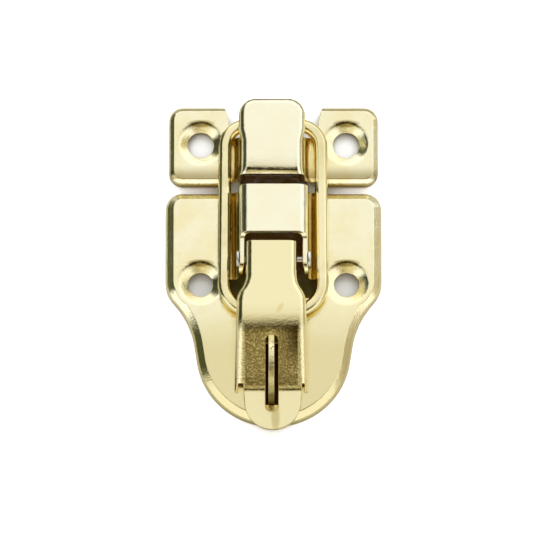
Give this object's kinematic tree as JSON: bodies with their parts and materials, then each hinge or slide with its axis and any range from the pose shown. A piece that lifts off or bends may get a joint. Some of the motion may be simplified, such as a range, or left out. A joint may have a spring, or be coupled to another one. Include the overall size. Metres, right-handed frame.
{
  "type": "duckbill box latch",
  "caption": "Pressed brass-plated box latch: a pivoting lever draws a closed ring over a duckbill hook, and a padlock eye stands in the lever's slot.",
  "frame": {"origin": "on the wall that both plates are screwed to, under the middle of the closed latch", "axes": "+Z away from the wall, +Y from the lever's tongue to the hook, +X to the right when the tongue points down"},
  "size_m": [0.04, 0.0621, 0.015],
  "materials": {
    "pressed_brass": "satin bright plating",
    "lever_brass": "satin bright plating",
    "ring_brass": "polished plating",
    "staple_brass": "sheared plated edge",
    "pin_steel": "bright zinc"
  },
  "bodies": {
    "root": {"base_plate": "pressed_brass", "strike_plate": "pressed_brass", "pivot_pin": "pin_steel", "padlock_staple": "staple_brass"},
    "lever": {"lever": "lever_brass"},
    "ring": {"ring": "ring_brass"}
  },
  "joints": [
    {"name": "lever_hinge", "type": "hinge", "parent": "root", "child": "lever", "pos_m": [0, 0.001, 0.0062], "axis": [-1, 0, 0], "range_deg": [0, 100]},
    {"name": "ring_hinge", "type": "hinge", "parent": "lever", "child": "ring", "pos_m": [0, -0.0076, 0.0044], "axis": [-1, 0, 0], "range_deg": [-81, 0]}
  ],
  "couplings": [
    {"joint": "ring_hinge", "follows": "lever_hinge", "ratio": -0.81}
  ]
}
